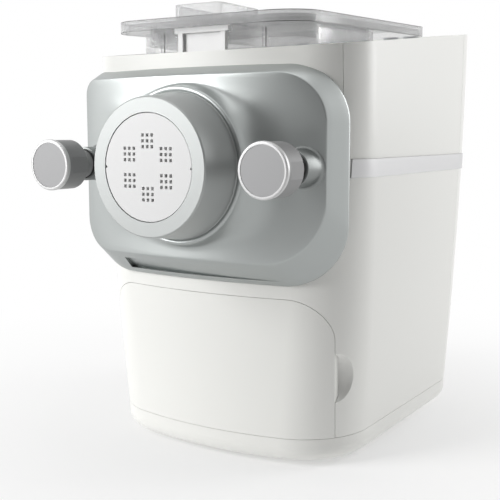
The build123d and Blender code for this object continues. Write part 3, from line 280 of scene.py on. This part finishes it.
def cut_slot(panel):
    """Cut the long finger slot in the lower bevel, which runs out to the right."""
    middle = (FACE[1] + RIM[1]) / 2
    bulge = 2 / (1 / FACE_BULGE + 1 / RIM_BULGE)
    shift = SLOT_DEPTH * bulge / (SLOT_FADE_X - SLOT_LEFT)
    floor_d = (FACE_D + RIM_D) / 2 + shift * (2 * SLOT_FADE_X - shift) / 2 / bulge
    z0, z1 = middle - SLOT_H / 2, middle + SLOT_H / 2
    points = []
    for i in range(SLOT_ROWS + 1):
        x = SLOT_LEFT + (SLOT_RIGHT - SLOT_LEFT) * i / SLOT_ROWS
        low, high = (floor_d + bulge - sqrt((bulge + SLOT_LEAN * (z - middle)) ** 2 - (x - shift) ** 2)
                     for z in (z0, z1))
        points += [(x, SLOT_CUT_D, z0), (x, low, z0), (x, high, z1), (x, SLOT_CUT_D, z1)]
    last = 4 * SLOT_ROWS
    faces = [(3, 2, 1, 0), (last, last + 1, last + 2, last + 3)]
    for i in range(SLOT_ROWS):
        for j in range(4):
            a, b = 4 * i + j, 4 * i + (j + 1) % 4
            faces.append((a, b, b + 4, a + 4))
    cutter = add_mesh("slot_cutter", points, faces, silver, smooth=False)
    cut = panel.modifiers.new("slot", "BOOLEAN")
    cut.operation, cut.solver, cut.object = "DIFFERENCE", "EXACT", cutter
    bpy.context.view_layer.update()
    evaluated = panel.evaluated_get(bpy.context.evaluated_depsgraph_get())
    shaped = bpy.data.meshes.new_from_object(evaluated)
    panel.modifiers.clear()
    panel.data = shaped
    bpy.data.objects.remove(cutter)


def add_boss(sx):
    """Round boss behind a knob, with a small fillet that follows the swell it stands on."""
    x = sx * KNOB_X

    def ring(r, depth):
        turns = [2 * pi * j / ROUND_STEPS for j in range(ROUND_STEPS)]
        spots = [(r * cos(a), r * sin(a)) for a in turns]
        return [(x + right, depth(x + right, up), NOZZLE_Z + up) for right, up in spots]

    def swell_depth(x, up):
        r = hypot(x, up)
        edge_r = FACE[0] * r / abs(x)
        return swell_point(edge_r, x / r, up / r, (edge_r - r) / (edge_r - LIP_R))[1]

    section = [(BOSS_BORE_R, BOSS_BACK_D), (BOSS_BORE_R, BOSS_FRONT_D)]
    section += [(BOSS_R + past, BOSS_FRONT_D + behind) for past, behind in BOSS_EDGE]
    rings = [ring(r, lambda x, up, d=d: d) for r, d in section]
    for spread, lift in BOSS_FILLET:
        rings.append(ring(BOSS_R + spread, lambda x, up, lift=lift: swell_depth(x, up) - lift))
    boss = add_mesh("boss_left" if sx < 0 else "boss_right", [p for r in rings for p in r],
                    band_faces(len(rings), ROUND_STEPS), boss_shaded_silver)
    sharpen(boss, 40)
    return boss


for piece in (add_panel(), add_boss(-1), add_boss(1)):
    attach(piece, "panel")
    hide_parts("front_panel")


# ---------------------------------------------------------------- painted shade along the edges of the clear tub and lid
TUB_FRONT_D, TUB_RIB_X, RIB_HALF_W, RIB_DEPTH, RIB_Z = 80.0, 46.0, 1.5, 0.7, (295.0, 324.5)
RIB_EDGE_PROUD, RIB_EDGE_W, RIB_CHAMFER = 0.1, 0.7, 0.3
LID_HALF_W, LID_FRONT_D, LID_LENGTH, LID_CORNER_R, LID_H = 87.0, 59.0, 219.0, 30.0, 8.2
LID_SIDE_STEPS, LID_TURN_STEP = 40, 5
LID_EDGE_PROUD, LID_EDGE_INSET, LID_EDGE_TOP_H, LID_EDGE_FOOT_H = 0.05, 0.4, 0.5, 0.4
RIM_FRONT_Z, RIM_RISE = 325.5, tan(radians(1.96))


def add_rib_shade_strips(side, sx):
    """Painted shade: two dark strips along the edges of a clear rib, where it bends the light away."""
    outer, inner = RIB_HALF_W + RIB_EDGE_PROUD, RIB_HALF_W - RIB_EDGE_W
    front = TUB_FRONT_D - RIB_DEPTH - RIB_EDGE_PROUD
    section = [(outer, TUB_FRONT_D), (outer, front + RIB_CHAMFER), (outer - RIB_CHAMFER, front),
               (inner, front)]
    count = len(section)
    points, faces = [], []
    for edge in (-1, 1):
        start = len(points)
        for z in RIB_Z:
            points += [(sx * TUB_RIB_X + edge * w, d, z) for w, d in section]
        faces += [(start + j, start + j + 1, start + count + j + 1, start + count + j)
                  for j in range(count - 1)]
    edges = add_mesh(f"rib_shade_strips_{side}", points, faces, rib_painted_shade, smooth=False)
    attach(edges, "housing")


def lid_outline(inset):
    """Points (x, d) round the front of the lid, from the back of its left side to that of its right."""
    half, front, r = LID_HALF_W - inset, LID_FRONT_D + inset, LID_CORNER_R - inset
    side = [LID_FRONT_D + LID_LENGTH * k / LID_SIDE_STEPS
            for k in range(LID_SIDE_STEPS // 4, LID_SIDE_STEPS + 1)]
    turns = [radians(LID_TURN_STEP * k) for k in range(90 // LID_TURN_STEP + 1)]
    points = [(-half, d) for d in reversed(side)]
    points += [(-half + r - r * cos(a), front + r - r * sin(a)) for a in turns]
    points += [(share * (half - r), front) for share in (-0.5, 0.0, 0.5)]
    points += [(half - r + r * sin(a), front + r - r * cos(a)) for a in turns]
    return points + [(half, d) for d in side]


def add_lid_shade_line(name, foot, head):
    """Painted shade: a thin dark line along the lid's clear rim, where it bends the light away, between
    two heights over its sloping foot.
    """
    rows = []
    for inset, up in ((LID_EDGE_INSET, foot), (-LID_EDGE_PROUD, foot),
                      (-LID_EDGE_PROUD, head), (LID_EDGE_INSET, head)):
        rows.append([(x, d, RIM_FRONT_Z + RIM_RISE * (d - LID_FRONT_D) + up)
                     for x, d in lid_outline(inset)])
    count = len(rows[0])
    faces = [(i * count + j, i * count + j + 1, (i + 1) * count + j + 1, (i + 1) * count + j)
             for i in range(len(rows) - 1) for j in range(count - 1)]
    edge = add_mesh(name, [p for row in rows for p in row], faces, lid_painted_shade, smooth=False)
    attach(edge, "lid")


for side, sx in (("left", -1), ("right", 1)):
    add_rib_shade_strips(side, sx)
# Painted shade lines at the top of the lid's rim and at its foot.
lid_top = LID_H + LID_EDGE_PROUD
add_lid_shade_line("lid_shade_line_top", lid_top - LID_EDGE_TOP_H, lid_top)
add_lid_shade_line("lid_shade_line_foot", -LID_EDGE_PROUD, LID_EDGE_FOOT_H - LID_EDGE_PROUD)


# ---------------------------------------------------------------- stage, light, camera
FLOOR_HALF_W, FLOOR_FADE_R = 6, 0.6                 # metres
CARD_TOP, CARD_FOOT = 2200, 1                       # heights, mm
CAMERA_AT, CAMERA_TURN, CAMERA_PITCH = (0.3952, -0.6684, 0.2495), 32.25, 7.41
CAMERA_LENS, SENSOR_W = 65.39, 36.0


def fading_floor():
    """Pale floor that keeps the shadow near the object and fades into the backdrop farther out."""
    material = paint("floor", (0.95, 0.95, 0.95), 0.8)
    tree = material.node_tree
    coords = tree.nodes.new("ShaderNodeTexCoord")
    scale = tree.nodes.new("ShaderNodeMapping")
    scale.inputs["Scale"].default_value = (1 / FLOOR_FADE_R, 1 / FLOOR_FADE_R, 0.0)
    ball = tree.nodes.new("ShaderNodeTexGradient")
    ball.gradient_type = "QUADRATIC_SPHERE"
    glow = tree.nodes.new("ShaderNodeEmission")
    mix = tree.nodes.new("ShaderNodeMixShader")
    tree.links.new(coords.outputs["Object"], scale.inputs["Vector"])
    tree.links.new(scale.outputs["Vector"], ball.inputs["Vector"])
    tree.links.new(ball.outputs["Fac"], mix.inputs["Fac"])
    tree.links.new(glow.outputs["Emission"], mix.inputs[1])
    tree.links.new(tree.nodes["Principled BSDF"].outputs["BSDF"], mix.inputs[2])
    tree.links.new(mix.outputs["Shader"], tree.nodes["Material Output"].inputs["Surface"])
    return material


def add_floor():
    w = FLOOR_HALF_W
    data = bpy.data.meshes.new("floor")
    data.from_pydata([(-w, -w, 0), (w, -w, 0), (w, w, 0), (-w, w, 0)], [], [(0, 1, 2, 3)])
    data.materials.append(fading_floor())
    floor = bpy.data.objects.new("floor", data)
    bpy.context.scene.collection.objects.link(floor)


def add_card(name, corners, tone, glossy, diffuse):
    """Studio card out of the camera's sight: it reflects in the machine, takes light away, or both."""
    material = paint(name, (0.03, 0.03, 0.03), 0.9, Emission_Color=(1.0, 1.0, 1.0, 1.0),
                     Emission_Strength=tone)
    card = add_mesh(name, corners, [(0, 1, 2, 3)], material, smooth=False)
    card.visible_camera, card.visible_glossy, card.visible_diffuse = False, glossy, diffuse


def add_cards():
    """Cards behind the camera: the panel's right half reflects one, and the near corner goes dark."""
    left, middle, right = (-1150, -2150), (350, -1761), (2900, -1100)
    near_right, near_left = (700, -100), (-250, -350)

    def upright(a, b):
        return [(*a, CARD_TOP), (*b, CARD_TOP), (*b, CARD_FOOT), (*a, CARD_FOOT)]

    add_card("dark_card", upright(left, middle), 0.0, glossy=True, diffuse=True)
    add_card("side_card", upright(middle, right), 0.0, glossy=False, diffuse=True)
    add_card("grey_card", upright(middle, right), 0.16, glossy=True, diffuse=False)
    add_card("floor_card", [(*spot, CARD_FOOT) for spot in (left, right, near_right, near_left)],
             0.0, glossy=False, diffuse=True)


def add_softbox(name, position, target, size, power):
    """Rectangular lamp of a size in metres and a power in watts, turned towards its target."""
    light = bpy.data.lights.new(name, "AREA")
    light.shape = "RECTANGLE"
    light.size, light.size_y = size
    light.energy = power
    lamp = bpy.data.objects.new(name, light)
    lamp.location = position
    lamp.rotation_euler = (Vector(target) - Vector(position)).to_track_quat("-Z", "Y").to_euler()
    bpy.context.scene.collection.objects.link(lamp)


def add_world(strength):
    """White behind everything, and an even soft light from all round."""
    world = bpy.data.worlds.new("studio")
    bpy.context.scene.world = world
    world.use_nodes = True
    tree = world.node_tree
    sky = tree.nodes["Background"]
    sky.inputs["Color"].default_value = (1.0, 1.0, 1.0, 1.0)
    sky.inputs["Strength"].default_value = strength
    backdrop = tree.nodes.new("ShaderNodeBackground")
    backdrop.inputs["Color"].default_value = (1.0, 1.0, 1.0, 1.0)
    backdrop.inputs["Strength"].default_value = 1.0
    path = tree.nodes.new("ShaderNodeLightPath")
    mix = tree.nodes.new("ShaderNodeMixShader")
    seen = path.outputs["Is Camera Ray"]
    for ray in ("Is Glossy Ray", "Is Transmission Ray"):
        either = tree.nodes.new("ShaderNodeMath")
        either.operation = "MAXIMUM"
        tree.links.new(seen, either.inputs[0])
        tree.links.new(path.outputs[ray], either.inputs[1])
        seen = either.outputs["Value"]
    tree.links.new(seen, mix.inputs["Fac"])
    tree.links.new(sky.outputs["Background"], mix.inputs[1])
    tree.links.new(backdrop.outputs["Background"], mix.inputs[2])
    tree.links.new(mix.outputs["Shader"], tree.nodes["World Output"].inputs["Surface"])


def add_camera():
    data = bpy.data.cameras.new("camera")
    data.lens, data.sensor_width = CAMERA_LENS, SENSOR_W
    camera = bpy.data.objects.new("camera", data)
    azimuth, pitch = radians(CAMERA_TURN), radians(CAMERA_PITCH)
    looks = Vector((-sin(azimuth) * cos(pitch), cos(azimuth) * cos(pitch), -sin(pitch)))
    camera.location = CAMERA_AT
    camera.rotation_euler = looks.to_track_quat("-Z", "Y").to_euler()
    bpy.context.scene.collection.objects.link(camera)
    bpy.context.scene.camera = camera


add_floor()
add_cards()
add_world(0.33)
add_softbox("key", (-1.2, -1.53, 0.9), (0, 0, 0.2), (1.0, 1.4), 34)
add_softbox("side", (0.85, 0.85, 0.6), (0.1, 0.1, 0.2), (0.6, 0.8), 6)
add_softbox("top", (0.0, 0.1, 2.0), (0, 0, 0), (1.2, 1.2), 5)
add_camera()
bpy.context.scene.view_settings.view_transform = "Standard"
